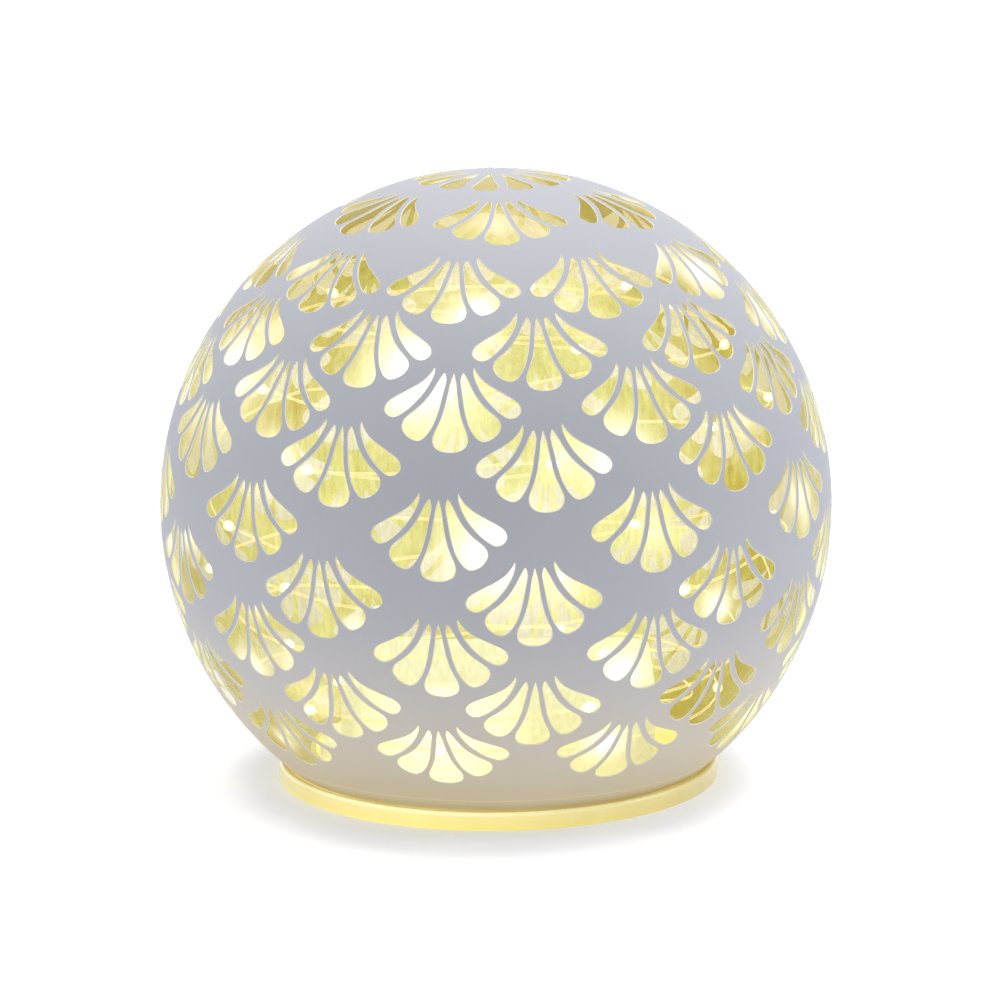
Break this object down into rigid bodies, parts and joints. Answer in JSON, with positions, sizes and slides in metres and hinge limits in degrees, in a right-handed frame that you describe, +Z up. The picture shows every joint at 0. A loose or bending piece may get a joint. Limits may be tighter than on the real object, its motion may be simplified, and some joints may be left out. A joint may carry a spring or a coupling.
{
  "type": "led glass ball light",
  "caption": "Battery lamp: a lacquered glass ball with fan-shaped clear windows on a clear ring base, with a string of lights wound inside, a battery door and a slide switch.",
  "frame": {"origin": "centre of the foot ring, on the surface that the lamp stands on", "axes": "+Z up through the middle of the ball, -Y towards the front of the picture, +X to its right"},
  "size_m": [0.15, 0.15, 0.137],
  "materials": {
    "amber_glass": "clear amber, polished",
    "lacquer": "matt grey-white lacquer",
    "clear_plastic": "clear, lit yellow from inside",
    "silicone": "cloudy",
    "pale_plastic": "satin",
    "cell_jacket": "printed film jacket",
    "contact_metal": "nickel plated",
    "lead_cover": "satin",
    "board": "green solder mask",
    "dark_resin": "matt",
    "can_metal": "sleeved",
    "dark_plastic": "satin",
    "screw_steel": "zinc plated",
    "soft_rubber": "matt",
    "string_wire": "enamelled copper",
    "light_resin": "clear resin, lit"
  },
  "bodies": {
    "lamp": {"glass_globe": "amber_glass", "lacquer_coat": "lacquer", "base_plate": "clear_plastic", "glue_seal": "silicone", "battery_housing": "pale_plastic", "cell_front": "cell_jacket", "cell_middle": "cell_jacket", "cell_back": "cell_jacket", "contact_plates": "contact_metal", "contact_springs": "contact_metal", "battery_leads": "lead_cover", "circuit_board": "board", "timer_chip": "dark_resin", "capacitor": "can_metal", "switch_body": "dark_plastic", "housing_screws": "screw_steel", "wire_grommet": "soft_rubber", "led_wire": "string_wire", "led_beads": "light_resin"},
    "battery_door": {"battery_door": "clear_plastic"},
    "switch_slider": {"switch_slider": "dark_plastic"}
  },
  "joints": [
    {"name": "door_hinge", "type": "hinge", "parent": "lamp", "child": "battery_door", "pos_m": [0.02255, 0, 0.0014], "axis": [0, -1, 0], "range_deg": [0, 70]},
    {"name": "switch_slide", "type": "slide", "parent": "lamp", "child": "switch_slider", "axis": [0, 1, 0], "range_m": [-0.002, 0.002]}
  ]
}
